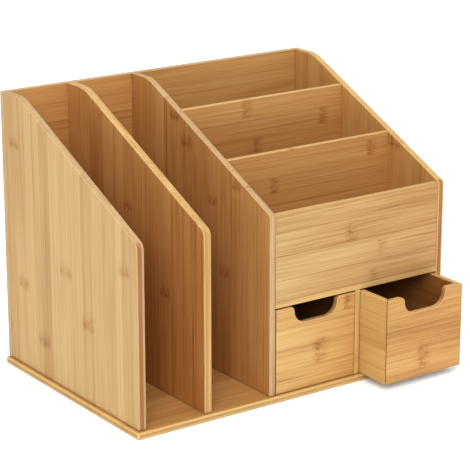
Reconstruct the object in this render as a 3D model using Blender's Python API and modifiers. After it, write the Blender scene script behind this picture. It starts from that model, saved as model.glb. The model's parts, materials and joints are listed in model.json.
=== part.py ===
"""Bamboo desk organizer: two file bays, three stepped bins and two drawers.

The origin is the centre of the base board's underside. +X runs to the drawer side, +Y to the
back and +Z up. The left drawer is closed and the right drawer is pulled out a little.
"""
from math import pi, radians, sin, tan

import bmesh
import bpy
from mathutils import Vector

MM = 0.001
GAP = 0.3 * MM                      # air between two boards that meet

# The carcass, outside sizes.
BASE_WIDTH = 381 * MM
BASE_DEPTH = 256 * MM
BASE_THICKNESS = 7 * MM
TOTAL_HEIGHT = 291 * MM
EDGE_SETBACK = 3.5 * MM             # the base shows this much in front and at each side
BACK_THICKNESS = 6 * MM

# The upright boards.
FILE_BOARD = 8.5 * MM               # left side and file divider
MODULE_BOARD = 7 * MM               # walls and front of the bins and drawers
THIN_BOARD = 6 * MM                 # shelf, partitions and drawer divider
FILE_FRONT_HEIGHT = 192 * MM
MODULE_FRONT_HEIGHT = 194 * MM
TOP_LEDGE = 37 * MM                 # level top at the back, before the slope starts
SHOULDER_RADIUS = 40 * MM
FILE_NOSE_RADIUS = 9 * MM
MODULE_NOSE_RADIUS = 3 * MM
LEFT_FILE_BAY = 67 * MM
RIGHT_FILE_BAY = 69 * MM

# Shelf and partitions of the bins. A tongue on each end sits in a groove in the wall.
SHELF_UNDERSIDE = 98 * MM
FRONT_PARTITION_FROM_FRONT = 85.3 * MM
REAR_PARTITION_FROM_FRONT = 165 * MM
TONGUE = 2.5 * MM
TONGUE_STOP = 14 * MM               # grooves stop this far short of a visible edge

# The drawers.
DRAWER_BOARD = 6 * MM
DRAWER_BOTTOM = 3 * MM
DRAWER_BOTTOM_LIFT = 4 * MM
DRAWER_SIDE_CLEARANCE = 0.6 * MM
DRAWER_FLOOR_CLEARANCE = 0.6 * MM
DRAWER_TOP_CLEARANCE = 1.7 * MM
DRAWER_BACK_CLEARANCE = 1 * MM
RIGHT_DRAWER_PULL = 42 * MM
NOTCH_FLAT = 26 * MM                # level bottom of the finger notch
NOTCH_LOWER_RADIUS = 13.5 * MM
NOTCH_UPPER_RADIUS = 5 * MM

# Screws and dowels.
SCREW_HEAD_RADIUS = 3 * MM
SCREW_SHANK_RADIUS = 1.4 * MM
SCREW_LENGTH = 26 * MM
SCREW_SINK = 0.5 * MM
SCREW_SIDES = 8
SCREW_FIRST_FROM_END = 45 * MM
DOWEL_RADIUS = 2 * MM
DOWEL_DEPTH = 4 * MM                # depth in the wall
DOWEL_LENGTH = 18 * MM

CHAMFER = 0.8 * MM

# Places that follow from the sizes above.
LEFT_EDGE = -BASE_WIDTH / 2
FRONT_EDGE = -BASE_DEPTH / 2
FRONT = FRONT_EDGE + EDGE_SETBACK
BACK = BASE_DEPTH / 2
BOARD_END = BACK - BACK_THICKNESS
LEFT_SIDE_X = LEFT_EDGE + EDGE_SETBACK
DIVIDER_X = LEFT_SIDE_X + FILE_BOARD + LEFT_FILE_BAY
INNER_WALL_X = DIVIDER_X + FILE_BOARD + RIGHT_FILE_BAY
MODULE_LEFT = INNER_WALL_X + MODULE_BOARD
RIGHT_WALL_X = -LEFT_SIDE_X - MODULE_BOARD
MODULE_WIDTH = RIGHT_WALL_X - MODULE_LEFT
DRAWER_BAY = (MODULE_WIDTH - THIN_BOARD) / 2
DRAWER_DIVIDER_X = MODULE_LEFT + DRAWER_BAY
SHELF_TOP = SHELF_UNDERSIDE + THIN_BOARD
SLOPE_START = BACK - TOP_LEDGE

BAMBOO_PALE = (0.68, 0.45, 0.22, 1)
BAMBOO_WARM = (0.60, 0.36, 0.15, 1)
BAMBOO_DEEP = (0.50, 0.28, 0.11, 1)
STEEL = (0.62, 0.60, 0.55, 1)


def clear_scene():
    for old in list(bpy.data.objects):
        bpy.data.objects.remove(old, do_unlink=True)


def new_collection(name):
    collection = bpy.data.collections.new(name)
    bpy.context.scene.collection.children.link(collection)
    return collection


clear_scene()
PARTS = new_collection("desk_organizer")
CUTTERS = new_collection("cutters")


def material(name, colour, roughness, metallic=0.0):
    result = bpy.data.materials.new(name)
    result.use_nodes = True
    shader = result.node_tree.nodes["Principled BSDF"]
    shader.inputs["Base Color"].default_value = colour
    shader.inputs["Roughness"].default_value = roughness
    shader.inputs["Metallic"].default_value = metallic
    result.diffuse_color = colour
    return result


def add_object(name, mesh, place, colour, roughness=0.45, metallic=0.0):
    obj = bpy.data.objects.new(name, mesh)
    obj.location = place
    mesh.materials.append(material(name + "_material", colour, roughness, metallic))
    PARTS.objects.link(obj)
    return obj


def add_cutter(name, mesh, place):
    obj = bpy.data.objects.new(name, mesh)
    obj.location = place
    obj.hide_render = True
    obj.display_type = "WIRE"
    CUTTERS.objects.link(obj)
    return obj


def cut(obj, cutter):
    boolean = obj.modifiers.new("cut " + cutter.name, "BOOLEAN")
    boolean.operation = "DIFFERENCE"
    boolean.solver = "EXACT"
    boolean.object = cutter


def ease_edges(obj, width=CHAMFER):
    bevel = obj.modifiers.new("eased edges", "BEVEL")
    bevel.width = width
    bevel.segments = 1
    bevel.limit_method = "ANGLE"
    bevel.angle_limit = radians(40)


def box_mesh(name, size):
    mesh = bpy.data.meshes.new(name)
    bm = bmesh.new()
    bmesh.ops.create_cube(bm, size=1)
    bmesh.ops.scale(bm, vec=size, verts=bm.verts)
    bm.to_mesh(mesh)
    bm.free()
    return mesh


def centre_and_size(low, high):
    low = Vector(low)
    high = Vector(high)
    return (low + high) / 2, high - low


def board(name, low, high, colour, edge=CHAMFER):
    """A rectangular board between two corners."""
    centre, size = centre_and_size(low, high)
    obj = add_object(name, box_mesh(name, size), centre, colour)
    ease_edges(obj, edge)
    return obj


def box_cutter(name, low, high):
    centre, size = centre_and_size(low, high)
    return add_cutter(name, box_mesh(name, size), centre)


def rounded_outline(corners, steps=6):
    """Points of a closed outline. Each corner is (u, v, radius), and a radius of 0 stays sharp."""
    points = []
    count = len(corners)
    for index, (u, v, radius) in enumerate(corners):
        corner = Vector((u, v))
        before = Vector(corners[index - 1][:2]) - corner
        after = Vector(corners[(index + 1) % count][:2]) - corner
        if radius == 0:
            points.append(corner)
            continue
        before.normalize()
        after.normalize()
        half = before.angle(after) / 2
        centre = corner + (before + after).normalized() * radius / sin(half)
        start = corner + before * radius / tan(half) - centre
        end = corner + after * radius / tan(half) - centre
        for step in range(steps + 1):
            turned = start.lerp(end, step / steps).normalized() * radius
            points.append(centre + turned)
    return points


def outline_mesh(name, points, thickness):
    """A flat outline in local X and Y, centred on its thickness along local Z."""
    curve = bpy.data.curves.new(name, "CURVE")
    curve.dimensions = "2D"
    curve.fill_mode = "BOTH"
    curve.extrude = thickness / 2
    spline = curve.splines.new("POLY")
    spline.points.add(len(points) - 1)
    for point, (u, v) in zip(spline.points, points):
        point.co = (u, v, 0, 1)
    spline.use_cyclic_u = True
    holder = bpy.data.objects.new(name + "_outline", curve)
    CUTTERS.objects.link(holder)
    evaluated = holder.evaluated_get(bpy.context.evaluated_depsgraph_get())
    mesh = bpy.data.meshes.new_from_object(evaluated)
    mesh.name = name
    bpy.data.objects.remove(holder)
    bpy.data.curves.remove(curve)
    bm = bmesh.new()
    bm.from_mesh(mesh)
    bmesh.ops.remove_doubles(bm, verts=bm.verts, dist=0.01 * MM)
    bmesh.ops.recalc_face_normals(bm, faces=bm.faces)
    bm.to_mesh(mesh)
    bm.free()
    mesh.materials.clear()
    return mesh


def turned_mesh(name, profile, sides):
    """A solid turned about local Z. The profile is (radius, height), from the top down."""
    mesh = bpy.data.meshes.new(name)
    bm = bmesh.new()
    verts = [bm.verts.new((radius, 0, height)) for radius, height in profile]
    for first, second in zip(verts, verts[1:]):
        bm.edges.new((first, second))
    geometry = bm.verts[:] + bm.edges[:]
    bmesh.ops.spin(bm, geom=geometry, cent=(0, 0, 0), axis=(0, 0, 1), angle=2 * pi, steps=sides)
    bmesh.ops.remove_doubles(bm, verts=bm.verts, dist=0.01 * MM)
    bmesh.ops.recalc_face_normals(bm, faces=bm.faces)
    bm.to_mesh(mesh)
    bm.free()
    return mesh


# ---------------------------------------------------------------- carcass

def upright_outline(front_height, nose_radius, steps):
    bottom = BASE_THICKNESS + GAP
    end = BOARD_END - GAP
    corners = [
        (FRONT, bottom, 0),
        (end, bottom, 0),
        (end, TOTAL_HEIGHT, 0),
        (SLOPE_START, TOTAL_HEIGHT, SHOULDER_RADIUS),
        (FRONT, front_height, nose_radius),
    ]
    return rounded_outline(corners, steps)


def upright(name, left, thickness, front_height, nose_radius, colour):
    """A tall board with a level back top, a round shoulder and a straight slope to the front."""
    points = upright_outline(front_height, nose_radius, 5)
    obj = add_object(name, outline_mesh(name, points, thickness), (left + thickness / 2, 0, 0), colour)
    obj.rotation_euler = (radians(90), 0, radians(90))
    ease_edges(obj)
    return obj


def slope_height(y):
    """Height of the module walls' slope at a depth y, before the round shoulder."""
    share = (y - FRONT) / (SLOPE_START - FRONT)
    return MODULE_FRONT_HEIGHT + share * (TOTAL_HEIGHT - MODULE_FRONT_HEIGHT)


def make_base():
    low = (LEFT_EDGE, FRONT_EDGE, 0)
    high = (-LEFT_EDGE, BACK, BASE_THICKNESS)
    return board("base_panel", low, high, BAMBOO_WARM, edge=1.2 * MM)


def make_back():
    low = (LEFT_SIDE_X, BOARD_END, BASE_THICKNESS + GAP)
    high = (-LEFT_SIDE_X, BACK, TOTAL_HEIGHT)
    return board("back_panel", low, high, BAMBOO_WARM)


def make_uprights():
    """The four tall boards, from left to right."""
    file_shape = (FILE_BOARD, FILE_FRONT_HEIGHT, FILE_NOSE_RADIUS)
    wall_shape = (MODULE_BOARD, MODULE_FRONT_HEIGHT, MODULE_NOSE_RADIUS)
    left = upright("left_side_panel", LEFT_SIDE_X, *file_shape, BAMBOO_PALE)
    divider = upright("file_divider", DIVIDER_X, *file_shape, BAMBOO_WARM)
    inner = upright("inner_side_panel", INNER_WALL_X, *wall_shape, BAMBOO_WARM)
    right = upright("right_side_panel", RIGHT_WALL_X, *wall_shape, BAMBOO_PALE)
    return left, divider, inner, right


def make_front_panel():
    low = (MODULE_LEFT + GAP, FRONT, SHELF_TOP + GAP)
    high = (RIGHT_WALL_X - GAP, FRONT + MODULE_BOARD, MODULE_FRONT_HEIGHT)
    return board("front_panel", low, high, BAMBOO_PALE)


def make_shelf(walls):
    """The bins' floor. Its tongues sit in grooves that stop short of the walls' front edges."""
    left = MODULE_LEFT + GAP
    right = RIGHT_WALL_X - GAP
    step = FRONT + TONGUE_STOP
    end = BOARD_END - GAP
    points = [
        (left, FRONT), (right, FRONT), (right, step), (right + TONGUE, step),
        (right + TONGUE, end), (left - TONGUE, end), (left - TONGUE, step), (left, step),
    ]
    height = (SHELF_UNDERSIDE + SHELF_TOP) / 2
    shape = outline_mesh("bin_shelf", points, THIN_BOARD)
    shelf = add_object("bin_shelf", shape, (0, 0, height), BAMBOO_WARM)
    low_y = step - GAP
    cut_grooves("shelf", walls, (low_y, BACK), (SHELF_UNDERSIDE - GAP, SHELF_TOP + GAP))
    return shelf


def cut_grooves(label, walls, span_y, span_z):
    """A groove on the inner face of each module wall."""
    inner, right = walls
    depth = TONGUE + 2 * GAP
    for wall, face in ((inner, MODULE_LEFT), (right, RIGHT_WALL_X)):
        low = (face - depth, span_y[0], span_z[0])
        high = (face + depth, span_y[1], span_z[1])
        cut(wall, box_cutter(label + "_groove_" + wall.name, low, high))


def make_partition(name, from_front, walls):
    """An upright board across the bins, flush with the walls' slope at its front face."""
    front = FRONT_EDGE + from_front
    back = front + THIN_BOARD
    low = SHELF_TOP + GAP
    top = slope_height(front)
    step = top - TONGUE_STOP
    left = MODULE_LEFT + GAP
    right = RIGHT_WALL_X - GAP
    points = [
        (left - TONGUE, low), (right + TONGUE, low), (right + TONGUE, step), (right, step),
        (right, top), (left, top), (left, step), (left - TONGUE, step),
    ]
    place = (0, (front + back) / 2, 0)
    obj = add_object(name, outline_mesh(name, points, THIN_BOARD), place, BAMBOO_DEEP)
    obj.rotation_euler = (radians(90), 0, 0)
    cut_grooves(name, walls, (front - GAP, back + GAP), (SHELF_TOP - GAP, step + GAP))
    return obj


def make_drawer_divider():
    low = (DRAWER_DIVIDER_X, FRONT, BASE_THICKNESS + GAP)
    high = (DRAWER_DIVIDER_X + THIN_BOARD, BOARD_END - GAP, SHELF_UNDERSIDE - GAP)
    return board("drawer_divider", low, high, BAMBOO_WARM)


# ---------------------------------------------------------------- drawers

def notch_points(half_width, height):
    """The front board's outline with the finger notch in its top edge, clockwise from below."""
    reach = NOTCH_FLAT / 2 + NOTCH_LOWER_RADIUS
    depth = NOTCH_LOWER_RADIUS + NOTCH_UPPER_RADIUS
    corners = [
        (-half_width, 0, 0),
        (half_width, 0, 0),
        (half_width, height, 0),
        (reach, height, NOTCH_UPPER_RADIUS),
        (reach, height - depth, NOTCH_LOWER_RADIUS),
        (-reach, height - depth, NOTCH_LOWER_RADIUS),
        (-reach, height, NOTCH_UPPER_RADIUS),
        (-half_width, height, 0),
    ]
    return rounded_outline(corners)


def mitre_cutter(name, hand, toward_side, empty, height):
    """A block whose face is the 45 degree joint at one front corner of a drawer."""
    block = 40 * MM
    corner = Vector((hand * drawer_half_width(), 0, height / 2))
    outward = Vector((hand, 1, 0)).normalized()
    reach = block / 2 - GAP / 2
    place = corner + outward * (reach if toward_side else -reach)
    cutter = add_cutter(name, box_mesh(name, (block, block, 2 * height)), place)
    cutter.rotation_euler = (0, 0, radians(45))
    cutter.parent = empty
    return cutter


def drawer_half_width():
    return DRAWER_BAY / 2 - DRAWER_SIDE_CLEARANCE


def drawer_height():
    return SHELF_UNDERSIDE - BASE_THICKNESS - DRAWER_FLOOR_CLEARANCE - DRAWER_TOP_CLEARANCE


def drawer_depth():
    return BOARD_END - FRONT - DRAWER_BACK_CLEARANCE


def make_drawer(label, bay_left, pull):
    """One drawer: a mitred front with a finger notch, two sides, a back and a grooved bottom."""
    empty = bpy.data.objects.new(label + "_slide", None)
    empty.location = (bay_left + DRAWER_BAY / 2, FRONT - pull, BASE_THICKNESS + DRAWER_FLOOR_CLEARANCE)
    PARTS.objects.link(empty)
    half = drawer_half_width()
    height = drawer_height()
    depth = drawer_depth()
    inside = half - DRAWER_BOARD

    front_mesh = outline_mesh(label + "_front", notch_points(half, height), DRAWER_BOARD)
    front = add_object(label + "_front", front_mesh, (0, DRAWER_BOARD / 2, 0), BAMBOO_WARM)
    front.rotation_euler = (radians(90), 0, 0)
    back_low = (GAP - inside, depth - DRAWER_BOARD, 0)
    back = board(label + "_back", back_low, (inside - GAP, depth, height), BAMBOO_DEEP)
    sides = []
    for hand, side_name in ((-1, "_left_side"), (1, "_right_side")):
        inner = hand * inside
        outer = hand * half
        low = (min(inner, outer), 0, 0)
        high = (max(inner, outer), depth, height)
        side = board(label + side_name, low, high, BAMBOO_WARM)
        cut(front, mitre_cutter(label + side_name + "_front_mitre", hand, True, empty, height))
        cut(side, mitre_cutter(label + side_name + "_mitre", hand, False, empty, height))
        sides.append(side)
    ease_edges(front)
    front.modifiers.move(len(front.modifiers) - 1, 0)
    bottom = make_drawer_bottom(label, inside, depth, empty, (front, back, *sides))
    for piece in (front, back, bottom, *sides):
        piece.parent = empty


def make_drawer_bottom(label, inside, depth, empty, walls):
    """The bottom board, and the groove that holds it in the four walls around it."""
    low_z = DRAWER_BOTTOM_LIFT
    high_z = low_z + DRAWER_BOTTOM
    reach = inside + TONGUE
    front_y = DRAWER_BOARD - TONGUE
    back_y = depth - DRAWER_BOARD + TONGUE
    centre, size = centre_and_size((-reach, front_y, low_z), (reach, back_y, high_z))
    bottom = add_object(label + "_bottom", box_mesh(label + "_bottom", size), centre, BAMBOO_DEEP)
    groove_low = (-reach - GAP, front_y - GAP, low_z - GAP)
    groove_high = (reach + GAP, back_y + GAP, high_z + GAP)
    groove = box_cutter(label + "_bottom_groove", groove_low, groove_high)
    groove.parent = empty
    for wall in walls:
        cut(wall, groove)
    return bottom


# ---------------------------------------------------------------- screws and dowels

def screw_profile(clearance):
    """Countersunk head at the top, then the shank and its point."""
    head = SCREW_HEAD_RADIUS + clearance
    shank = SCREW_SHANK_RADIUS + clearance
    cone = SCREW_HEAD_RADIUS - SCREW_SHANK_RADIUS
    rim = 0.5 * MM
    point = SCREW_LENGTH + clearance
    return [
        (0, 0), (head, 0), (head, -rim), (shank, -rim - cone), (shank, 3 * MM - point), (0, -point),
    ]


def hole_profile():
    """The screw's hole, which runs on out through the board's face."""
    profile = screw_profile(GAP)
    head = profile[1][0]
    return [(0, 5 * MM), (head, 5 * MM)] + profile[2:]


def make_screw(name, place, turn, boards):
    screw = add_object(name, turned_mesh(name, screw_profile(0), SCREW_SIDES), place, STEEL, 0.35, 1.0)
    screw.rotation_euler = turn
    hole = add_cutter(name + "_hole", turned_mesh(name + "_hole", hole_profile(), SCREW_SIDES), place)
    hole.rotation_euler = turn
    for piece in boards:
        cut(piece, hole)


def make_screws(base, back, uprights, divider):
    """Two screws up through the base and two through the back for each tall board."""
    centres = (
        LEFT_SIDE_X + FILE_BOARD / 2,
        DIVIDER_X + FILE_BOARD / 2,
        INNER_WALL_X + MODULE_BOARD / 2,
        RIGHT_WALL_X + MODULE_BOARD / 2,
    )
    rows = (("front", FRONT + SCREW_FIRST_FROM_END), ("rear", BOARD_END - SCREW_FIRST_FROM_END))
    heights = (
        ("low", BASE_THICKNESS + SCREW_FIRST_FROM_END),
        ("high", TOTAL_HEIGHT - SCREW_FIRST_FROM_END),
    )
    upward = (radians(180), 0, 0)
    forward = (radians(-90), 0, 0)
    for x, piece in zip(centres, uprights):
        for row, y in rows:
            make_screw("screw_base_" + piece.name + "_" + row, (x, y, SCREW_SINK), upward, (base, piece))
        for row, z in heights:
            place = (x, BACK - SCREW_SINK, z)
            make_screw("screw_back_" + piece.name + "_" + row, place, forward, (back, piece))
    for row, y in rows:
        place = (DRAWER_DIVIDER_X + THIN_BOARD / 2, y, SCREW_SINK)
        make_screw("screw_base_drawer_divider_" + row, place, upward, (base, divider))


def make_dowels(panel, walls):
    """Two dowels at each end of the front panel, hidden in the walls."""
    inner, right = walls
    ends = (
        (inner, MODULE_LEFT - DOWEL_DEPTH, 1, "left"),
        (right, RIGHT_WALL_X + DOWEL_DEPTH, -1, "right"),
    )
    panel_height = MODULE_FRONT_HEIGHT - SHELF_TOP
    heights = (("low", SHELF_TOP + panel_height / 4), ("high", SHELF_TOP + panel_height * 3 / 4))
    y = FRONT + MODULE_BOARD / 2
    for wall, start, hand, side in ends:
        for row, z in heights:
            name = "dowel_" + side + "_" + row
            place = (start + hand * DOWEL_LENGTH / 2, y, z)
            dowel = add_object(name, rod_mesh(name, DOWEL_RADIUS, DOWEL_LENGTH), place, BAMBOO_PALE)
            dowel.rotation_euler = (0, radians(90), 0)
            hole_mesh = rod_mesh(name + "_hole", DOWEL_RADIUS + GAP, DOWEL_LENGTH + 2 * GAP)
            hole = add_cutter(name + "_hole", hole_mesh, place)
            hole.rotation_euler = (0, radians(90), 0)
            cut(panel, hole)
            cut(wall, hole)


def rod_mesh(name, radius, length):
    half = length / 2
    return turned_mesh(name, [(0, half), (radius, half), (radius, -half), (0, -half)], 8)


def main():
    base = make_base()
    back = make_back()
    uprights = make_uprights()
    walls = uprights[2:]
    front_panel = make_front_panel()
    make_shelf(walls)
    make_partition("front_partition", FRONT_PARTITION_FROM_FRONT, walls)
    make_partition("rear_partition", REAR_PARTITION_FROM_FRONT, walls)
    divider = make_drawer_divider()
    make_drawer("drawer_left", MODULE_LEFT, 0)
    make_drawer("drawer_right", DRAWER_DIVIDER_X + THIN_BOARD, RIGHT_DRAWER_PULL)
    make_screws(base, back, uprights, divider)
    make_dowels(front_panel, walls)


main()
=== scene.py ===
import json
from math import pi, radians, tan
from random import Random

import bmesh
import bpy
from mathutils import Matrix, Vector


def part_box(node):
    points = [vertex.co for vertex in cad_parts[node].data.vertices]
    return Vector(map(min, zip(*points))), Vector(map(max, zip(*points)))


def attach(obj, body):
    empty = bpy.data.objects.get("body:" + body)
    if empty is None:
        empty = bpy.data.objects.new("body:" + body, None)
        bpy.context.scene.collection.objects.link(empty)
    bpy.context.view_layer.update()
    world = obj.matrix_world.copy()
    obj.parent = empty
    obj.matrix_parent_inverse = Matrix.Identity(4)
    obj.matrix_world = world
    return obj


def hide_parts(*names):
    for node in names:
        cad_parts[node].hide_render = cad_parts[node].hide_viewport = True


# Bamboo desk organizer: two file bays, three stepped bins and two drawers. Every board is glued up
# from bamboo strips, has eased edges, and is cut for its tongues, screws, dowels and drawer bottoms.
# Lengths are in metres. +X runs to the drawers, +Y to the back and +Z up.

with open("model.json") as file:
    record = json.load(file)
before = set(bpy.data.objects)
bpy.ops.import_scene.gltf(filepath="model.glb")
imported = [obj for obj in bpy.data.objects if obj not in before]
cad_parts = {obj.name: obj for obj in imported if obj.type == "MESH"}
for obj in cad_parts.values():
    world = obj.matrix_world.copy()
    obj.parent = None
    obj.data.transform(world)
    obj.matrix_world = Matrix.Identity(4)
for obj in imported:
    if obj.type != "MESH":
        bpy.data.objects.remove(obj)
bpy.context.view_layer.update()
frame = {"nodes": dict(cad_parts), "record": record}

MM = 0.001
GAP = 0.3 * MM                      # air between two boards that meet
MERGE = 0.01 * MM                   # corners closer than this are one corner
BODIES = frame["record"]["behaviour"]["bodies"]
BODY_OF = {node: body for body, nodes in BODIES.items() for node in nodes}

# Shapes that a board's box doesn't give.
FILE_FRONT_HEIGHT = 192 * MM
MODULE_FRONT_HEIGHT = 194 * MM
TOP_LEDGE = 37 * MM                 # level top at the back, before the slope starts
SHOULDER_RADIUS = 40 * MM
FILE_NOSE_RADIUS = 9 * MM
MODULE_NOSE_RADIUS = 3 * MM
TONGUE = 2.5 * MM
TONGUE_STOP = 14 * MM               # how far a tongue stays back from the edge that shows
NOTCH_FLAT = 26 * MM
NOTCH_LOWER_RADIUS = 13.5 * MM
NOTCH_UPPER_RADIUS = 5 * MM
DOWEL_RADIUS = 2 * MM

SCREW_HEAD_RADIUS = 3 * MM
SCREW_SHANK_RADIUS = 1.4 * MM
SCREW_ROOT = 0.78                   # the thread's root as a share of the shank
SCREW_THREADS = 9
SCREW_PITCH = 1.8 * MM
SCREW_FIRST_THREAD = 6 * MM
SCREW_HOLE_END = 24 * MM, 26.3 * MM
RECESS_LENGTH, RECESS_WIDTH, RECESS_DEPTH = 3.4 * MM, 0.62 * MM, 1.3 * MM

# How far each kind of board is rounded at its edges.
SIDE_EASE = 1.1 * MM
WALL_EASE = 0.7 * MM
BASE_EASE = 1.5 * MM
BACK_EASE = 0.9 * MM
SMALL_EASE = 0.25 * MM
MITRE_EASE = 0.15 * MM
MITRE_GAP = 0.06 * MM               # air in a drawer's mitre
EASED_SEGMENTS = 3
EASED_ANGLE = radians(40)           # a sharper edge than this is rounded
SHADED_ANGLE = radians(36)          # a sharper edge than this is shaded as a corner
EASED_RIM = 2.2 * MM                # the strip beside each eased edge, where the brown line runs out
RIM_SHARE = 0.35                    # and the most it takes of a board's thickness


# ---------------------------------------------------------------- finishes

class Finish:
    """One material, with short ways to add and link its nodes."""

    def __init__(self, name):
        self.material = bpy.data.materials.new(name)
        self.material.use_nodes = True
        self.tree = self.material.node_tree
        self.shader = self.tree.nodes["Principled BSDF"]

    def add(self, kind, **settings):
        node = self.tree.nodes.new(kind)
        for key, value in settings.items():
            setattr(node, key, value)
        return node

    def feed(self, socket, value):
        if isinstance(value, bpy.types.NodeSocket):
            self.tree.links.new(value, socket)
        elif value is not None:
            socket.default_value = value

    def maths(self, operation, first, second=None, third=None, clamp=False):
        node = self.add("ShaderNodeMath", operation=operation, use_clamp=clamp)
        for socket, value in zip(node.inputs, (first, second, third)):
            self.feed(socket, value)
        return node.outputs[0]

    def scaled(self, vector, scale):
        node = self.add("ShaderNodeVectorMath", operation="MULTIPLY")
        self.feed(node.inputs[0], vector)
        node.inputs[1].default_value = scale
        return node.outputs[0]

    def noise(self, vector, scale, detail=2.0, roughness=0.5):
        """Noise between 0 and 1, with scale in features per metre along, across and through."""
        node = self.add("ShaderNodeTexNoise")
        self.feed(node.inputs["Vector"], self.scaled(vector, scale))
        node.inputs["Scale"].default_value = 1.0
        node.inputs["Detail"].default_value = detail
        node.inputs["Roughness"].default_value = roughness
        return node.outputs["Fac"]

    def spread(self, value, low, high):
        """0 at or below low, 1 at or above high, smooth between them."""
        node = self.add("ShaderNodeMapRange", interpolation_type="SMOOTHSTEP")
        self.feed(node.inputs["Value"], value)
        node.inputs["From Min"].default_value = low
        node.inputs["From Max"].default_value = high
        return node.outputs["Result"]

    def ramp(self, value, stops, interpolation="LINEAR"):
        node = self.add("ShaderNodeValToRGB")
        node.color_ramp.interpolation = interpolation
        elements = node.color_ramp.elements
        while len(elements) < len(stops):
            elements.new(1.0)
        for element, (place, colour) in zip(elements, stops):
            element.position = place
            element.color = (*colour, 1)
        self.feed(node.inputs["Fac"], value)
        return node.outputs["Color"]

    def mixed(self, share, first, second, blend="MIX"):
        node = self.add("ShaderNodeMix", data_type="RGBA", blend_type=blend)
        self.feed(node.inputs["Factor"], share)
        self.feed(node.inputs[6], first)
        self.feed(node.inputs[7], second)
        return node.outputs[2]

    def bump(self, height, strength, distance):
        node = self.add("ShaderNodeBump")
        node.inputs["Strength"].default_value = strength
        node.inputs["Distance"].default_value = distance
        self.feed(node.inputs["Height"], height)
        self.feed(self.shader.inputs["Normal"], node.outputs[0])


# Four colours from the darkest fibre to the palest, for each lot of bamboo and each kind of cut. Where one
# board takes a paler set outside and a darker one inside, the darker set is painted shade. The sets for the
# faces inside the bays and inside the drawers are darker copies of the same bamboo: painted shade.
PALE = (0.308, 0.145, 0.044), (0.459, 0.280, 0.113), (0.540, 0.360, 0.161), (0.630, 0.464, 0.239)
STRAW = (0.344, 0.161, 0.050), (0.504, 0.303, 0.114), (0.599, 0.388, 0.159), (0.675, 0.488, 0.233)
HONEY = (0.317, 0.135, 0.035), (0.472, 0.258, 0.088), (0.564, 0.332, 0.126), (0.645, 0.430, 0.192)
# A darker, redder copy of the bamboo for the faces inside the bays and bins: painted shade.
INSIDE_SHADE = (0.302, 0.120, 0.032), (0.457, 0.232, 0.074), (0.538, 0.298, 0.108), (0.624, 0.394, 0.168)
# A much darker copy of the bamboo for the faces inside the drawers: painted shade.
DEEP_SHADE = (0.203, 0.061, 0.015), (0.326, 0.128, 0.035), (0.405, 0.178, 0.053), (0.488, 0.252, 0.088)
EDGE = (0.370, 0.192, 0.067), (0.520, 0.326, 0.130), (0.607, 0.409, 0.176), (0.683, 0.496, 0.237)
OUTER_EDGE = (0.317, 0.177, 0.070), (0.455, 0.303, 0.145), (0.520, 0.370, 0.198), (0.599, 0.447, 0.257)
END_GRAIN = (0.242, 0.107, 0.035), (0.362, 0.182, 0.070), (0.439, 0.247, 0.105), (0.536, 0.335, 0.156)
TONE_PLACES = (0.0, 0.34, 0.54, 0.86)    # where those four lie between dark and pale
BROWN = (*HONEY[0], 1)                   # lines beside the edges, and browned front edges
SHADE_AND_DRIFT_TINT = (0.88, 0.66, 0.50, 1)             # multiplied in to darken a colour toward orange: painted shade deep in the bays, and a darker end on the fronts

# A lot of strips and joint marks that is drawn by chance.
STRIP_WIDTHS = 17, 25                    # mm
STRIP_TONES = 0.32, 0.68
MOST_STRIPS = 30                         # a ramp holds 32 stops
KNUCKLE_CHANCE = 0.55
MOST_KNUCKLES = 8
KNUCKLE_SIZES = 0.7, 1.05

# How the strips lie.
FAR_SHIFT = 0.43                         # the far face's strips are moved by this share of the width
SEAM_WIDTH = 0.9 * MM
SEAM_STEP = 0.004                        # strips closer in tone than this show no seam
STRIP_SCRAMBLE = 91.7                    # gives each strip its own lot
STRIP_SHIFT = 2.0                        # the most that a strip's fibres are moved along, in metres

# A joint mark's shape, in mm.
KNUCKLE_REACH = 10.5                     # half its width across the strip
ZIGZAG_DEPTH = 7.0
RIDGE_EDGE = 0.3, 2.0
SWIRL_START, SWIRL_FADE = 7.0, (2.0, 13.0)

# How far the fibres stray.
STRAY = 5 * MM
SWIRL_STRAY = 6 * MM

# Where a browned front edge fades out behind the front, and starts beside the low side.
BAND_FADE = 1.5 * MM, 5.0 * MM
BAND_START = 0.5 * MM, 1.5 * MM

# The fibres, in features per metre along, across and through.
CLOUD = 8, 26, 26
DRIFT = 9, 30, 30
EDDY = 170, 170, 170
ZIGZAG = 20, 420, 420
BROAD = 3, 120, 120
STREAKS = 7, 640, 640
FINE = 22, 1500, 1500
SPARSE = 5, 330, 330
DASHES = 120, 520, 520
PATCHES = 60, 60, 60

# How much each layer moves the tone.
MIDDLE_TONE = 0.53
STRIP_WEIGHT = 0.42
BROAD_WEIGHT, STREAK_WEIGHT, FINE_WEIGHT, CLOUD_WEIGHT = 0.20, 0.62, 0.34, 0.30
SEAM_WEIGHT, SPARSE_WEIGHT = -0.20, -0.14


def strip_stops(strips):
    """Ramp stops from a board's strips, each a width and a tone between 0 and 1."""
    total = sum(width for width, tone in strips)
    place = 0.0
    stops = []
    for width, tone in strips:
        stops.append((place / total, (tone, tone, tone)))
        place += width
    return stops


def chance_strips(seed, width):
    """Strips for a board of that width."""
    chance = Random(seed)
    strips = []
    while sum(w for w, tone in strips) < width / MM:
        strips.append((chance.uniform(*STRIP_WIDTHS), chance.uniform(*STRIP_TONES)))
    return strips[:MOST_STRIPS]


def chance_knuckles(seed, strips, length):
    """Joint marks on about half of the strips, as (along, across, size) in mm from the low corner."""
    chance = Random(seed + 100)
    place = 0.0
    found = []
    for width, tone in strips:
        if chance.random() < KNUCKLE_CHANCE and len(found) < MOST_KNUCKLES:
            along = chance.uniform(0.1, 0.9) * length / MM
            found.append((along, place + width / 2, chance.uniform(*KNUCKLE_SIZES)))
        place += width
    return found


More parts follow.
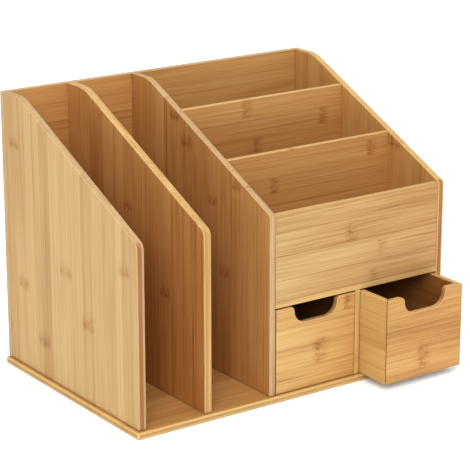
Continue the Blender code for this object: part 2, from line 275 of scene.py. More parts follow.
class Bamboo(Finish):
    """One board's laminated bamboo: strips, fibres, joint marks, ply lines, eased edges with a painted
    highlight, and painted shade on some faces.
    """

    def __init__(self, node, grain, across):
        super().__init__(node + "_bamboo")
        self.low, self.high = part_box(node)
        through = (set("XYZ") - {grain, across}).pop()
        self.g, self.a, self.t = ("XYZ".index(axis) for axis in (grain, across, through))
        self.width = self.high[self.a] - self.low[self.a]
        self.thickness = self.high[self.t] - self.low[self.t]
        self.middle = (self.low[self.t] + self.high[self.t]) / 2
        self.place = self.add("ShaderNodeTexCoord").outputs["Object"]
        parts = self.add("ShaderNodeSeparateXYZ")
        self.feed(parts.inputs[0], self.place)
        self.along, self.over, self.deep = (parts.outputs[axis] for axis in (self.g, self.a, self.t))

    def gathered(self, along, over):
        """A place for the fibres' noises to read."""
        vector = self.add("ShaderNodeCombineXYZ")
        for socket, value in zip(vector.inputs, (along, over, self.deep)):
            self.feed(socket, value)
        return vector.outputs[0]

    def rest(self, share):
        return self.maths("SUBTRACT", 1.0, share)

    def toned(self, tones):
        return self.ramp(self.tone, tuple(zip(TONE_PLACES, tones)))

    def lay_strips(self, strips):
        """Finds which strip a point is on. The far face has its strips in another order."""
        self.far = self.maths("GREATER_THAN", self.deep, self.middle)
        share = self.maths("MULTIPLY_ADD", self.over, 1 / self.width, -self.low[self.a] / self.width)
        share = self.maths("FRACT", self.maths("MULTIPLY_ADD", self.far, FAR_SHIFT, share))
        stops = strip_stops(strips)
        self.strip = self.ramp(share, stops, "CONSTANT")
        beside = self.ramp(self.maths("ADD", share, SEAM_WIDTH / self.width), stops, "CONSTANT")
        step = self.maths("ABSOLUTE", self.maths("SUBTRACT", self.strip, beside))
        self.seam = self.maths("GREATER_THAN", step, SEAM_STEP)
        lot = self.add("ShaderNodeTexWhiteNoise", noise_dimensions="1D")
        self.feed(lot.inputs["W"], self.maths("MULTIPLY", self.strip, STRIP_SCRAMBLE))
        self.shifted = self.maths("MULTIPLY_ADD", lot.outputs["Value"], STRIP_SHIFT, self.along)
        self.straight = self.gathered(self.shifted, self.over)

    def knuckle(self, from_low, from_edge, size, zigzag):
        """One joint mark across a strip: a thin ragged ridge, and where the fibres swirl beside it."""
        reach = KNUCKLE_REACH * MM * size
        centre = self.low[self.a] + from_edge * MM
        across = self.maths("ABSOLUTE", self.maths("MULTIPLY_ADD", self.over, 1 / reach, -centre / reach))
        inside = self.rest(self.spread(across, 0.75, 1.1))
        centre = self.low[self.g] + from_low * MM
        ragged = self.maths("MULTIPLY_ADD", self.along, 1 / MM, -centre / MM)
        ragged = self.maths("MULTIPLY_ADD", self.maths("SUBTRACT", zigzag, 0.5), ZIGZAG_DEPTH, ragged)
        ridge = self.rest(self.spread(self.maths("ABSOLUTE", ragged), *RIDGE_EDGE))
        fade = self.rest(self.spread(ragged, *(place * size for place in SWIRL_FADE)))
        fan = self.maths("MULTIPLY", self.spread(ragged, -SWIRL_START * size, -0.5), fade)
        return self.maths("MULTIPLY", ridge, inside), self.maths("MULTIPLY", fan, inside)

    def lay_fibres(self, knuckles, wander, figure, mark_depth):
        """Sets the tone from the strips, the fibres and the marks where the cane had its joints."""
        zigzag = self.noise(self.straight, ZIGZAG, 2.0, 0.6)
        ridges = swirls = 0.0
        for from_low, from_edge, size in knuckles:
            ridge, swirl = self.knuckle(from_low, from_edge, size, zigzag)
            ridges = self.maths("MAXIMUM", ridges, ridge)
            swirls = self.maths("MAXIMUM", swirls, swirl)
        drift = self.noise(self.straight, DRIFT, 1.0)
        eddy = self.maths("SUBTRACT", self.noise(self.straight, EDDY, 1.0), 0.5)
        bent = self.maths("MULTIPLY_ADD", drift, wander * STRAY, self.over)
        bent = self.maths("MULTIPLY_ADD", self.maths("MULTIPLY", swirls, eddy), SWIRL_STRAY, bent)
        fibres = self.gathered(self.shifted, bent)

        cloud = self.noise(self.straight, CLOUD, 1.0)
        broad = self.noise(fibres, BROAD, 1.0)
        self.streaks = self.noise(fibres, STREAKS, 3.0, 0.62)
        self.fine = self.noise(fibres, FINE, 2.0, 0.6)
        sparse = self.spread(self.noise(fibres, SPARSE, 2.0, 0.55), 0.58, 0.70)
        dashes = self.spread(self.noise(fibres, DASHES, 2.0, 0.6), 0.44, 0.60)
        broken = self.maths("MULTIPLY", ridges, self.spread(self.streaks, 0.36, 0.60))
        ragged = self.maths("MULTIPLY", self.maths("MULTIPLY_ADD", dashes, 0.50, 0.24), swirls)
        self.marks = self.maths("MULTIPLY_ADD", broken, 0.30, ragged)
        self.seam = self.maths("MULTIPLY", self.seam, self.spread(drift, 0.36, 0.60))

        tone = self.maths("MULTIPLY_ADD", self.strip, STRIP_WEIGHT, MIDDLE_TONE - STRIP_WEIGHT / 2)
        layers = ((broad, BROAD_WEIGHT), (self.streaks, STREAK_WEIGHT), (self.fine, FINE_WEIGHT),
                  (cloud, CLOUD_WEIGHT))
        for layer, weight in layers:
            tone = self.maths("MULTIPLY_ADD", self.maths("SUBTRACT", layer, 0.5), weight * figure, tone)
        tone = self.maths("MULTIPLY_ADD", self.seam, SEAM_WEIGHT * figure, tone)
        tone = self.maths("MULTIPLY_ADD", sparse, SPARSE_WEIGHT * figure, tone)
        self.tone = self.maths("MULTIPLY_ADD", self.marks, -mark_depth, tone)

    def face(self, tones, far_tones, shade_and_drift):
        """The colour of the two broad faces."""
        colour = self.toned(tones)
        if far_tones:
            colour = self.mixed(self.far, colour, self.toned(far_tones))
        # Painted shade: the colour darkens toward orange at one end of the grain, the bottom of the boards
        # deep in the bays. On the fronts the same darkening runs toward the right end.
        if any(shade_and_drift):
            start, end = shade_and_drift
            slope = (end - start) / (self.high[self.g] - self.low[self.g])
            shade_and_drift_share = self.maths("MULTIPLY_ADD", self.along, slope, start - self.low[self.g] * slope)
            colour = self.mixed(shade_and_drift_share, colour, self.mixed(1.0, colour, SHADE_AND_DRIFT_TINT, "MULTIPLY"))
        return colour

    def with_core(self, colour, core_tones, end_tones):
        """The board's edges show its paler core, with thin glue lines between the plies."""
        half = self.thickness / 2
        ply = self.maths("ABSOLUTE", self.maths("MULTIPLY_ADD", self.deep, 1 / half, -self.middle / half))
        glue = self.maths("COMPARE", ply, 0.42, 0.05)
        core = self.mixed(self.maths("MULTIPLY", glue, 0.3), self.toned(core_tones), (*core_tones[1], 1))
        if end_tones:
            facing = self.add("ShaderNodeSeparateXYZ")
            self.feed(facing.inputs[0], self.add("ShaderNodeTexCoord").outputs["Normal"])
            end = self.spread(self.maths("ABSOLUTE", facing.outputs[self.g]), 0.35, 0.9)
            core = self.mixed(end, core, self.toned(end_tones))
        return self.mixed(self.spread(ply, 0.82, 0.97), core, colour)

    def with_front_band(self, colour, strength, reach):
        """The front edge is browned, over a share of the thickness called reach."""
        inward = self.maths("SUBTRACT", self.over, self.low[self.a])
        band = self.rest(self.spread(inward, *BAND_FADE))
        inward = self.maths("SUBTRACT", self.deep, self.low[self.t])
        band = self.maths("MULTIPLY", band, self.spread(inward, *BAND_START))
        past = self.spread(inward, (reach - 0.08) * self.thickness, (reach + 0.04) * self.thickness)
        band = self.maths("MULTIPLY", band, self.rest(past))
        streaky = self.maths("MULTIPLY_ADD", self.streaks, 1.6, 0.1)
        band = self.maths("MULTIPLY", band, streaky, clamp=True)
        return self.mixed(self.maths("MULTIPLY", band, strength), colour, BROWN)

    def with_edge_line_and_highlight(self, colour, edge_line, front_band, highlight_strength, highlight_colour):
        """A brown line runs beside each eased edge, and the edge itself gets a painted highlight, paler in
        patches.
        """
        edge = self.add("ShaderNodeAttribute", attribute_name="eased").outputs["Fac"]
        patch = self.noise(self.place, PATCHES, 2.0)
        # Painted highlight: the eased edges are made paler, in patches, where they would catch the light.
        self.edge_highlight = self.maths("MULTIPLY", self.spread(edge, 0.80, 1.0), self.spread(patch, 0.15, 0.5))
        line = self.maths("MULTIPLY", self.spread(edge, 0.30, 0.6), self.rest(self.spread(edge, 0.7, 0.95)))
        line = self.maths("MULTIPLY", line, self.spread(patch, 0.25, 0.6))
        colour = self.mixed(self.maths("MULTIPLY", line, edge_line), colour, BROWN)
        if front_band:
            colour = self.with_front_band(colour, *front_band)
        return self.mixed(self.maths("MULTIPLY", self.edge_highlight, highlight_strength), colour, (*highlight_colour, 1))

    def finish_surface(self):
        """A satin lacquer: duller on the marks, a little smoother under the painted edge highlight."""
        gloss = self.maths("MULTIPLY_ADD", self.streaks, 0.22, 0.35)
        gloss = self.maths("MULTIPLY_ADD", self.marks, 0.12, gloss)
        gloss = self.maths("MULTIPLY_ADD", self.edge_highlight, -0.06, gloss, clamp=True)
        self.feed(self.shader.inputs["Roughness"], gloss)
        relief = self.maths("MULTIPLY_ADD", self.fine, 0.6, self.streaks)
        relief = self.maths("MULTIPLY_ADD", self.marks, -0.8, relief)
        relief = self.maths("MULTIPLY_ADD", self.seam, -0.5, relief)
        self.bump(relief, 0.3, 0.1 * MM)
        self.shader.inputs["Specular IOR Level"].default_value = 0.3


def bamboo(node, grain, across, tones, seed, strips=None, knuckles=None, far_tones=None, core_tones=EDGE,
           end_tones=None, wander=0.8, shade_and_drift=(0, 0), figure=1.0, edge_line=0.35, mark_depth=0.45,
           front_band=None, highlight_strength=0.4):
    """A board's finish. Strips and joint marks that aren't given are drawn by lot.

    tones colour the face with the lower coordinate, far_tones the other one, core_tones the
    edges and end_tones the ends that cut across the grain. wander is how much the fibres stray.
    shade_and_drift is how far the colour darkens toward orange at its low end and its high end
    along the grain: painted shade where that end lies deep in the bays, and a darker right end on
    the front panel and the drawer fronts. figure, edge_line and mark_depth are how strongly its
    fibres, the line beside an eased edge and the joint marks show, and highlight_strength how strongly
    the eased edges carry a painted highlight, paler in patches. front_band is how strongly the
    front edge is browned, and over what share of the thickness, from the low side.
    """
    wood = Bamboo(node, grain, across)
    if strips is None:
        strips = chance_strips(seed, wood.width)
    if knuckles is None:
        knuckles = chance_knuckles(seed, strips, wood.high[wood.g] - wood.low[wood.g])
    wood.lay_strips(strips)
    wood.lay_fibres(knuckles, wander, figure, mark_depth)
    colour = wood.face(tones, far_tones, shade_and_drift)
    colour = wood.with_core(colour, core_tones, end_tones)
    colour = wood.with_edge_line_and_highlight(colour, edge_line, front_band, highlight_strength, core_tones[3])
    wood.feed(wood.shader.inputs["Base Color"], colour)
    wood.finish_surface()
    return wood.material


def screw_steel():
    """Zinc-plated steel with fine turning marks and rubbed patches."""
    steel = Finish("screw_zinc")
    place = steel.add("ShaderNodeTexCoord").outputs["Object"]
    brushed = steel.noise(place, (1800, 1800, 1800), 3.0)
    patch = steel.noise(place, (300, 300, 300), 2.0)
    tone = steel.maths("MULTIPLY_ADD", brushed, 0.4, steel.maths("MULTIPLY", patch, 0.6))
    colour = steel.ramp(tone, ((0.3, (0.42, 0.41, 0.38)), (0.7, (0.68, 0.67, 0.63))))
    steel.feed(steel.shader.inputs["Base Color"], colour)
    steel.shader.inputs["Metallic"].default_value = 1.0
    steel.feed(steel.shader.inputs["Roughness"], steel.maths("MULTIPLY_ADD", brushed, 0.3, 0.2))
    steel.bump(brushed, 0.2, 0.03 * MM)
    return steel.material


# ---------------------------------------------------------------- shaping boards

def corners_of(parts):
    return [part for part in parts if isinstance(part, bmesh.types.BMVert)]


def add_to_scene(name, data):
    thing = bpy.data.objects.new(name, data)
    bpy.context.scene.collection.objects.link(thing)
    return thing


def box_form(low, high):
    bm = bmesh.new()
    bmesh.ops.create_cube(bm, size=1)
    bmesh.ops.scale(bm, vec=high - low, verts=bm.verts)
    bmesh.ops.translate(bm, vec=(low + high) / 2, verts=bm.verts)
    return bm


def outline_form(corners, depth):
    """A flat outline pulled to a board by depth. Each corner is a place, a radius and how many steps."""
    bm = bmesh.new()
    verts = [bm.verts.new(place) for place, radius, steps in corners]
    bm.faces.new(verts)
    for vert, (place, radius, steps) in zip(verts, corners):
        if radius:
            first, second = (edge.other_vert(vert).co - vert.co for edge in vert.link_edges)
            reach = radius / tan(first.angle(second) / 2)
            bmesh.ops.bevel(bm, geom=[vert], offset=reach, affect="VERTICES", segments=steps,
                            profile=0.5, material=-1)
    bmesh.ops.remove_doubles(bm, verts=bm.verts, dist=MERGE)
    pulled = bmesh.ops.extrude_face_region(bm, geom=bm.faces[:], use_keep_orig=True)["geom"]
    bmesh.ops.translate(bm, vec=depth, verts=corners_of(pulled))
    bmesh.ops.recalc_face_normals(bm, faces=bm.faces)
    return bm


def sharp_edges(bm):
    return [edge for edge in bm.edges if edge.is_manifold and edge.calc_face_angle() > EASED_ANGLE]


def ease(bm, edges, radius):
    """Rounds these edges and marks the new faces, so that the brown line and the painted highlight know
    where they are.
    """
    layer = bm.faces.layers.int.get("eased_face") or bm.faces.layers.int.new("eased_face")
    made = bmesh.ops.bevel(bm, geom=edges, offset=radius, affect="EDGES", segments=EASED_SEGMENTS,
                           profile=0.5, material=-1, clamp_overlap=True)
    for face in made["faces"]:
        face[layer] = 1


def add_rim(bm, width):
    """A narrow strip of faces beside each eased edge, with the 'eased' attribute running out over it."""
    layer = bm.faces.layers.int.get("eased_face")
    flats = [face for face in bm.faces if not face[layer]]
    bmesh.ops.inset_region(bm, faces=flats, thickness=width, use_even_offset=True, use_boundary=True)
    eased = bm.verts.layers.float.new("eased")
    for vert in bm.verts:
        vert[eased] = 1.0 if any(face[layer] for face in vert.link_faces) else 0.0
    bm.faces.layers.int.remove(layer)


def finished_mesh(name, bm):
    bmesh.ops.remove_doubles(bm, verts=bm.verts, dist=0.002 * MM)
    bmesh.ops.recalc_face_normals(bm, faces=bm.faces)
    for face in bm.faces:
        face.smooth = True
    mesh = bpy.data.meshes.new(name)
    bm.to_mesh(mesh)
    bm.free()
    return mesh


def cut_away(mesh, cutters):
    """The mesh with each cutter's shape taken out of it, one after the other."""
    holder = add_to_scene("holder", mesh)
    tools = []
    for number, cutter in enumerate(cutters):
        tool = add_to_scene(f"tool_{number}", finished_mesh(f"tool_{number}", cutter))
        boolean = holder.modifiers.new(tool.name, "BOOLEAN")
        boolean.operation = "DIFFERENCE"
        boolean.solver = "MANIFOLD"
        boolean.object = tool
        tools.append(tool)
    shaped = holder.evaluated_get(bpy.context.evaluated_depsgraph_get())
    result = bpy.data.meshes.new_from_object(shaped)
    for used in (holder, *tools):
        bpy.data.objects.remove(used)
    name = mesh.name
    bpy.data.meshes.remove(mesh)
    result.name = name
    return result


def set_up(mesh, node, material):
    """Puts a finished mesh in the scene as the piece that stands for a CAD node."""
    mesh.set_sharp_from_angle(angle=SHADED_ANGLE)
    mesh.materials.clear()
    mesh.materials.append(material)
    piece = add_to_scene(mesh.name, mesh)
    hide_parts(node)
    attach(piece, BODY_OF[node])


def finish_board(node, bm, material, cutters=(), narrowest=None):
    """Adds the rim beside the eased edges, cuts the joints and sets the board up. narrowest is its thinnest
    part.
    """
    low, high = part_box(node)
    add_rim(bm, min(EASED_RIM, RIM_SHARE * (narrowest or min(high - low))))
    mesh = finished_mesh(node + "_wood", bm)
    if cutters:
        mesh = cut_away(mesh, cutters)
    set_up(mesh, node, material)


# ---------------------------------------------------------------- carcass

def turned_form(profile, sides, place, turn):
    """A solid turned about an axis from (radius, depth) pairs, then turned and moved into place."""
    bm = bmesh.new()
    verts = [bm.verts.new((radius, 0, depth)) for radius, depth in profile]
    for first, second in zip(verts, verts[1:]):
        bm.edges.new((first, second))
    bmesh.ops.spin(bm, geom=bm.verts[:] + bm.edges[:], cent=(0, 0, 0), axis=(0, 0, 1), angle=2 * pi,
                   steps=sides, use_merge=True)
    bmesh.ops.remove_doubles(bm, verts=bm.verts, dist=MERGE)
    bmesh.ops.transform(bm, matrix=Matrix.Translation(place) @ turn, verts=bm.verts)
    return bm


def screw_seat(node):
    """Where a screw's head sits, and the turn that points it into the wood."""
    low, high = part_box(node)
    middle = (low + high) / 2
    if node.startswith("screw_base"):
        return Vector((middle.x, middle.y, low.z)), Matrix.Identity(4)
    return Vector((middle.x, high.y, middle.z)), Matrix.Rotation(radians(90), 4, "X")


def screw_holes(board):
    """Countersunk holes for the screws that go through this board or into its end."""
    screws = sorted(node for node in frame["nodes"] if node.startswith("screw_"))
    if board in ("base_panel", "back_panel"):
        start = "screw_base_" if board == "base_panel" else "screw_back_"
        screws = [node for node in screws if node.startswith(start)]
    else:
        screws = [node for node in screws if board in node]
    head = SCREW_HEAD_RADIUS + GAP
    shank = SCREW_SHANK_RADIUS + GAP
    outside = -5 * MM
    rim = 0.5 * MM
    end, tip = SCREW_HOLE_END
    cone = rim + head - shank
    profile = [(0, outside), (head, outside), (head, rim), (shank, cone), (shank, end), (0, tip)]
    return [turned_form(profile, 24, *screw_seat(node)) for node in screws]


def dowel_holes(side):
    """Bores for the dowels at one side of the front panel."""
    holes = []
    for node in sorted(frame["nodes"]):
        if node.startswith("dowel_" + side):
            low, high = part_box(node)
            bore = DOWEL_RADIUS + GAP
            end = high.x - low.x + GAP
            profile = [(0, -GAP), (bore, -GAP), (bore, end), (0, end)]
            start = Vector((low.x, (low.y + high.y) / 2, (low.z + high.z) / 2))
            holes.append(turned_form(profile, 16, start, Matrix.Rotation(radians(90), 4, "Y")))
    return holes


def bottom_groove(label):
    """The groove that holds a drawer's bottom in the four boards round it."""
    low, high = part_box(label + "_bottom")
    play = Vector((GAP, GAP, GAP))
    return [box_form(low - play, high + play)]


def upright(node, front_height, nose_radius, radius, material, cutters):
    """A tall board: level top at the back, round shoulder, straight slope and a round nose."""
    low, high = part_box(node)
    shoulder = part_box("base_panel")[1].y - TOP_LEDGE
    corners = [
        (Vector((low.x, low.y, low.z)), 0, 0),
        (Vector((low.x, high.y, low.z)), 0, 0),
        (Vector((low.x, high.y, high.z)), 0, 0),
        (Vector((low.x, shoulder, high.z)), SHOULDER_RADIUS, 8),
        (Vector((low.x, low.y, front_height)), nose_radius, 6),
    ]
    bm = outline_form(corners, Vector((high.x - low.x, 0, 0)))
    ease(bm, sharp_edges(bm), radius)
    finish_board(node, bm, material, cutters)


def plain_board(node, radius, material, cutters=()):
    bm = box_form(*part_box(node))
    ease(bm, sharp_edges(bm), radius)
    finish_board(node, bm, material, cutters)


# ---------------------------------------------------------------- stage, lights and camera

def make_floor():
    paper = Finish("studio_floor")
    place = paper.add("ShaderNodeTexCoord").outputs["Object"]
    soft = paper.noise(place, (3, 3, 3), 2.0)
    colour = paper.ramp(soft, ((0.3, (0.900, 0.935, 0.975)), (0.7, (0.915, 0.948, 0.985))))
    paper.feed(paper.shader.inputs["Base Color"], colour)
    paper.shader.inputs["Roughness"].default_value = 0.9
    paper.shader.inputs["Specular IOR Level"].default_value = 0.0
    # A table lit weakly from below, so the shadows on it stay light and cool.
    paper.shader.inputs["Emission Color"].default_value = (0.80, 0.90, 1.0, 1)
    paper.shader.inputs["Emission Strength"].default_value = 0.14
    bm = bmesh.new()
    bmesh.ops.create_grid(bm, x_segments=4, y_segments=4, size=30)
    bmesh.ops.translate(bm, vec=(0, 0, -0.2 * MM), verts=bm.verts)
    mesh = bpy.data.meshes.new("studio_floor")
    bm.to_mesh(mesh)
    bm.free()
    mesh.materials.append(paper.material)
    floor = add_to_scene("studio_floor", mesh)


def turn_along(direction):
    return Vector(direction).to_track_quat("-Z", "Y").to_euler()


def make_studio():
    """An even pale room, a broad window light from the front left and a soft lamp above."""
    world = bpy.data.worlds.new("studio")
    bpy.context.scene.world = world
    world.use_nodes = True
    sky = world.node_tree.nodes["Background"]
    sky.inputs["Color"].default_value = (0.98, 0.99, 1.0, 1)
    sky.inputs["Strength"].default_value = 0.76

    lamp = bpy.data.lights.new("window", "SUN")
    lamp.energy = 1.5
    lamp.angle = radians(35)
    window = add_to_scene("window", lamp)
    window.rotation_euler = turn_along((0.50, 0.65, -0.57))

    lamp = bpy.data.lights.new("top", "AREA")
    lamp.shape = "DISK"
    lamp.size = 2.4
    lamp.energy = 14
    top = add_to_scene("top", lamp)
    top.location = (-0.3, -0.2, 2.6)
    top.rotation_euler = turn_along(Vector((0, 0, 0.1)) - top.location)

    view = bpy.context.scene.view_settings
    view.view_transform = "Standard"
    view.gamma = 0.8
    view.exposure = 0.144


def make_camera():
    lens = bpy.data.cameras.new("studio_camera")
    lens.lens = 150.9
    lens.sensor_width = 36
    lens.clip_end = 100
    camera = add_to_scene("studio_camera", lens)
    camera.location = (-1.1135, -1.5901, 0.7365)
    camera.rotation_euler = (radians(90 - 17.134), 0, radians(-35.302))
    bpy.context.scene.camera = camera


# ---------------------------------------------------------------- the organizer

# Strips as (width in mm, tone) from each board's low side, and joint marks as (along, across, size).
SIDE_STRIPS = ((25, 0.48), (13, 0.74), (22, 0.48), (20, 0.57), (19, 0.41), (20, 0.59), (20, 0.70),
               (20, 0.63), (18, 0.20), (14, 0.48), (16, 0.57), (22, 0.41), (17, 0.34))
SIDE_KNUCKLES = ((233, 228, 0.9), (88, 215, 1.05), (123, 131, 1.1), (79, 90, 1.2), (36, 176, 1.1),
                 (152, 23, 0.95), (36, 250, 0.8))
FRONT_STRIPS = ((22, 0.60), (25, 0.66), (22, 0.44), (21, 0.40))
FRONT_KNUCKLES = ((91, 57, 1.05), (131, 34, 0.9), (122, 6, 0.8))
LEFT_FRONT_STRIPS = ((23, 0.32), (22, 0.58), (21, 0.62), (23, 0.50))
LEFT_FRONT_KNUCKLES = ((52, 37, 1.35), (88, 80, 0.8))
RIGHT_FRONT_STRIPS = ((9, 0.32), (21, 0.50), (25, 0.34), (34, 0.50))
RIGHT_FRONT_KNUCKLES = ((46, 21, 1.3),)


def grooves_for(wall):
    """Grooves for the shelf's and the partitions' tongues on the inner face of a bin wall."""
    low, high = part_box(wall)
    x = high.x if wall == "inner_side_panel" else low.x
    depth = TONGUE + 2 * GAP
    cutters = []
    for node in ("bin_shelf", "front_partition", "rear_partition"):
        part_low, part_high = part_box(node)
        if node == "bin_shelf":
            start = Vector((x - depth, part_low.y + TONGUE_STOP - GAP, part_low.z - GAP))
            end = Vector((x + depth, high.y + 1 * MM, part_high.z + GAP))
        else:
            start = Vector((x - depth, part_low.y - GAP, part_low.z - GAP))
            end = Vector((x + depth, part_high.y + GAP, part_high.z - TONGUE_STOP + GAP))
        cutters.append(box_form(start, end))
    return cutters


def make_uprights():
    # Faces inside the bays take darker colours than the outer faces, and the boards darken toward orange at
    # the bottom: both are painted shade.
    side = bamboo("left_side_panel", "Z", "Y", PALE, 3, SIDE_STRIPS, SIDE_KNUCKLES, far_tones=INSIDE_SHADE,
                  core_tones=OUTER_EDGE, wander=0.3, figure=0.85, edge_line=0.12, mark_depth=0.32,
                  front_band=(0.84, 0.68), highlight_strength=0.1)
    divider = bamboo("file_divider", "Z", "Y", INSIDE_SHADE, 4, wander=0.3, shade_and_drift=(0.5, 0.0), figure=1.35,
                     front_band=(0.3, 0.55))
    inner = bamboo("inner_side_panel", "Z", "Y", INSIDE_SHADE, 5, core_tones=OUTER_EDGE, wander=0.3,
                   shade_and_drift=(0.15, 0.0), figure=1.25)
    right = bamboo("right_side_panel", "Z", "Y", HONEY, 6, far_tones=PALE, wander=0.3, shade_and_drift=(0.3, 0.0),
                   front_band=(0.9, 0.75))
    for node, material in (("left_side_panel", side), ("file_divider", divider)):
        upright(node, FILE_FRONT_HEIGHT, FILE_NOSE_RADIUS, SIDE_EASE, material, screw_holes(node))
    for node, material, hand in (("inner_side_panel", inner, "left"), ("right_side_panel", right, "right")):
        cutters = grooves_for(node) + screw_holes(node) + dowel_holes(hand)
        upright(node, MODULE_FRONT_HEIGHT, MODULE_NOSE_RADIUS, WALL_EASE, material, cutters)


def between_walls():
    """Where a board that fits between the bins' walls starts and ends, without its tongues."""
    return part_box("inner_side_panel")[1].x + GAP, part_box("right_side_panel")[0].x - GAP


def make_shelf():
    inner, right = between_walls()
    low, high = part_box("bin_shelf")
    step = low.y + TONGUE_STOP
    corners = [(inner, low.y), (right, low.y), (right, step), (high.x, step),
               (high.x, high.y), (low.x, high.y), (low.x, step), (inner, step)]
    outline = [(Vector((x, y, low.z)), 0, 0) for x, y in corners]
    bm = outline_form(outline, Vector((0, 0, high.z - low.z)))
    ease(bm, sharp_edges(bm), SMALL_EASE)
    # The darker colours of the shelf inside the bins are painted shade.
    material = bamboo("bin_shelf", "X", "Y", INSIDE_SHADE, 11)
    finish_board("bin_shelf", bm, material, narrowest=TONGUE)


def make_partition(node, seed):
    inner, right = between_walls()
    low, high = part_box(node)
    step = high.z - TONGUE_STOP
    corners = [(low.x, low.z), (high.x, low.z), (high.x, step), (right, step),
               (right, high.z), (inner, high.z), (inner, step), (low.x, step)]
    outline = [(Vector((x, low.y, z)), 0, 0) for x, z in corners]
    bm = outline_form(outline, Vector((0, high.y - low.y, 0)))
    ease(bm, sharp_edges(bm), WALL_EASE)
    # The darker colours of the partitions inside the bins are painted shade.
    material = bamboo(node, "X", "Z", INSIDE_SHADE, seed)
    finish_board(node, bm, material, narrowest=TONGUE)


def make_drawer(label, seed, strips, knuckles, tones, shade_and_drift):
    """One drawer: a mitred front with a finger notch, two sides, a back and a bottom."""
    low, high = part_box(label + "_front")
    middle = (low.x + high.x) / 2
    reach = NOTCH_FLAT / 2 + NOTCH_LOWER_RADIUS
    notch = high.z - NOTCH_LOWER_RADIUS - NOTCH_UPPER_RADIUS
    corners = [
        (low.x, low.z, 0, 0), (high.x, low.z, 0, 0), (high.x, high.z, 0, 0),
        (middle + reach, high.z, NOTCH_UPPER_RADIUS, 6), (middle + reach, notch, NOTCH_LOWER_RADIUS, 9),
        (middle - reach, notch, NOTCH_LOWER_RADIUS, 9), (middle - reach, high.z, NOTCH_UPPER_RADIUS, 6),
        (low.x, high.z, 0, 0),
    ]
    outline = [(Vector((x, low.y, z)), radius, steps) for x, z, radius, steps in corners]
    bm = outline_form(outline, Vector((0, high.y - low.y, 0)))
    mitres = [(Vector((low.x, low.y, 0)), Vector((-1, 1, 0))),
              (Vector((high.x, low.y, 0)), Vector((1, 1, 0)))]
    # Each drawer board's inside face takes the darkest colours: painted shade. The front also darkens toward
    # orange at its right end.
    material = bamboo(label + "_front", "X", "Z", tones, seed, strips, knuckles, far_tones=DEEP_SHADE,
                      end_tones=END_GRAIN, shade_and_drift=shade_and_drift, figure=1.4, mark_depth=0.48)
    mitred_board(label + "_front", bm, mitres, material, bottom_groove(label))
    for number, side in enumerate(("_left_side", "_right_side")):
        node = label + side
        low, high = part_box(node)
        corner = Vector((high.x if number else low.x, low.y, 0))
        outward = Vector((-1 if number else 1, -1, 0))
        faces = (DEEP_SHADE, STRAW) if number else (STRAW, DEEP_SHADE)
        material = bamboo(node, "Y", "Z", faces[0], seed + 1 + number, far_tones=faces[1])
        mitred_board(node, box_form(low, high), [(corner, outward)], material, bottom_groove(label))
    back = bamboo(label + "_back", "X", "Z", DEEP_SHADE, seed + 3, far_tones=HONEY)
    plain_board(label + "_back", WALL_EASE, back, bottom_groove(label))
    bottom = bamboo(label + "_bottom", "X", "Y", HONEY, seed + 4, far_tones=DEEP_SHADE)
    plain_board(label + "_bottom", SMALL_EASE, bottom)


def mitred_board(node, bm, mitres, material, cutters):
    """A drawer board cut at 45 degrees through its corners. The cuts' own edges stay nearly sharp."""
    planes = []
    for corner, outward in mitres:
        outward = outward.normalized()
        planes.append((corner - outward * MITRE_GAP / 2, outward))
    for place, outward in planes:
        mitre(bm, place, outward)
    ease(bm, [edge for edge in sharp_edges(bm) if not on_planes(edge, planes)], WALL_EASE)
    ease(bm, [edge for edge in sharp_edges(bm) if on_planes(edge, planes)], MITRE_EASE)
    finish_board(node, bm, material, cutters)


def on_planes(edge, planes):
    """True if the edge lies in one of the mitre planes, each a place and a direction."""
    for place, outward in planes:
        if all(abs((vert.co - place).dot(outward)) < 0.001 * MM for vert in edge.verts):
            return True
    return False


def mitre(bm, place, outward):
    """Cuts the board along a plane, takes away what is outside it and closes the cut."""
    geometry = bm.verts[:] + bm.edges[:] + bm.faces[:]
    cut = bmesh.ops.bisect_plane(bm, geom=geometry, plane_co=place, plane_no=outward, clear_outer=True)
    loop = [part for part in cut["geom_cut"] if isinstance(part, bmesh.types.BMEdge)]
    bmesh.ops.edgeloop_fill(bm, edges=loop)
    bmesh.ops.recalc_face_normals(bm, faces=bm.faces)


def make_screws():
    """Countersunk screws with a cross recess, one mesh placed at each screw's seat."""
    head, shank, rim = SCREW_HEAD_RADIUS, SCREW_SHANK_RADIUS, 0.3 * MM
    cone = rim + head - shank
    profile = [(0, 0), (head - 0.15 * MM, 0), (head, 0.12 * MM), (head, rim), (shank, cone), (shank, 4 * MM)]
    root = shank * SCREW_ROOT
    for turn in range(SCREW_THREADS):
        depth = SCREW_FIRST_THREAD + turn * SCREW_PITCH
        profile += [(root, depth - 0.5 * MM), (shank, depth), (root, depth + 0.5 * MM)]
    profile += [(shank * 0.7, 22.5 * MM), (0, 25.8 * MM)]
    form = turned_form(profile, 32, Vector((0, 0, 0)), Matrix.Identity(4))
    slots = []
    for length, width in ((RECESS_LENGTH, RECESS_WIDTH), (RECESS_WIDTH, RECESS_LENGTH)):
        end = Vector((length / 2, width / 2, RECESS_DEPTH))
        slots.append(box_form(Vector((-end.x, -end.y, -0.5 * MM)), end))
    model = cut_away(finished_mesh("screw", form), slots)
    steel = screw_steel()
    for node in sorted(frame["nodes"]):
        if node.startswith("screw_"):
            place, turn = screw_seat(node)
            mesh = model.copy()
            mesh.name = node + "_steel"
            mesh.transform(Matrix.Translation(place) @ turn)
            set_up(mesh, node, steel)
    bpy.data.meshes.remove(model)


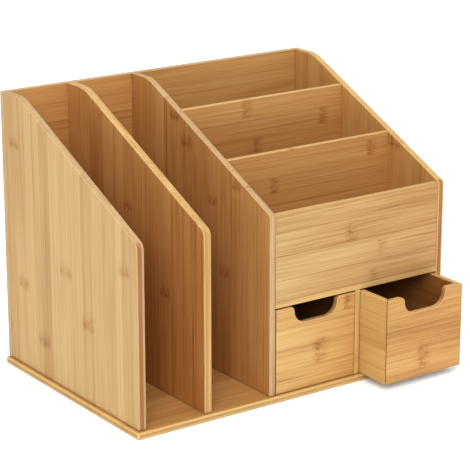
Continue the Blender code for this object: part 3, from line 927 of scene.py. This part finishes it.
def dowel_form(length):
    """A fluted dowel along Z with tapered ends."""
    flutes = 32
    taper = 0.3 * MM
    bm = bmesh.new()
    bmesh.ops.create_circle(bm, cap_ends=True, radius=DOWEL_RADIUS * 0.98, segments=flutes)
    bm.verts.ensure_lookup_table()
    bmesh.ops.scale(bm, vec=(0.92, 0.92, 1), verts=[vert for vert in bm.verts if vert.index % 2])
    pulled = bmesh.ops.extrude_face_region(bm, geom=bm.faces[:], use_keep_orig=True)["geom"]
    bmesh.ops.translate(bm, vec=(0, 0, length), verts=corners_of(pulled))
    bmesh.ops.recalc_face_normals(bm, faces=bm.faces)
    caps = [face for face in bm.faces if len(face.verts) == flutes]
    bmesh.ops.inset_region(bm, faces=caps, thickness=0.35 * MM, depth=0.0, use_boundary=True)
    for face in caps:
        bmesh.ops.translate(bm, vec=face.normal * taper, verts=face.verts)
    bmesh.ops.translate(bm, vec=(0, 0, taper), verts=bm.verts)
    squeeze = Matrix.Scale(length / (length + 2 * taper), 4, (0, 0, 1))
    bmesh.ops.transform(bm, matrix=squeeze, verts=bm.verts)
    return bm


def make_dowels():
    """Dowels that are hidden between the front panel and its walls."""
    for node in sorted(frame["nodes"]):
        if node.startswith("dowel_"):
            low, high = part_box(node)
            bm = dowel_form(high.x - low.x)
            place = Vector((low.x, (low.y + high.y) / 2, (low.z + high.z) / 2))
            turn = Matrix.Rotation(radians(90), 4, "Y")
            bmesh.ops.transform(bm, matrix=Matrix.Translation(place) @ turn, verts=bm.verts)
            material = bamboo(node, "X", "Y", PALE, 50, [(20, 0.5)], [])
            set_up(finished_mesh(node + "_wood", bm), node, material)


def make_carcass():
    base = bamboo("base_panel", "X", "Y", HONEY, 1)
    plain_board("base_panel", BASE_EASE, base, screw_holes("base_panel"))
    # The back's inside face is darker than its outer face, and the back darkens toward orange at its left
    # end, deep in the file bays: painted shade.
    back = bamboo("back_panel", "X", "Z", HONEY, 2, far_tones=PALE, core_tones=OUTER_EDGE, shade_and_drift=(0.35, 0.0))
    plain_board("back_panel", BACK_EASE, back, screw_holes("back_panel"))
    make_uprights()
    # The front panel darkens toward orange at its right end.
    front = bamboo("front_panel", "X", "Z", PALE, 7, FRONT_STRIPS, FRONT_KNUCKLES, shade_and_drift=(0.0, 0.5),
                   figure=1.5, mark_depth=0.25)
    plain_board("front_panel", SMALL_EASE, front, dowel_holes("left") + dowel_holes("right"))
    make_shelf()
    make_partition("front_partition", 12)
    make_partition("rear_partition", 13)
    # The darker colours of the board between the drawers are painted shade.
    divider = bamboo("drawer_divider", "Z", "Y", INSIDE_SHADE, 14)
    plain_board("drawer_divider", WALL_EASE, divider, screw_holes("drawer_divider"))


def main():
    make_camera()
    make_studio()
    make_floor()
    make_carcass()
    make_screws()
    make_dowels()
    make_drawer("drawer_left", 20, LEFT_FRONT_STRIPS, LEFT_FRONT_KNUCKLES, STRAW, (0.0, 0.3))
    make_drawer("drawer_right", 30, RIGHT_FRONT_STRIPS, RIGHT_FRONT_KNUCKLES, HONEY, (0.0, 0.12))


main()
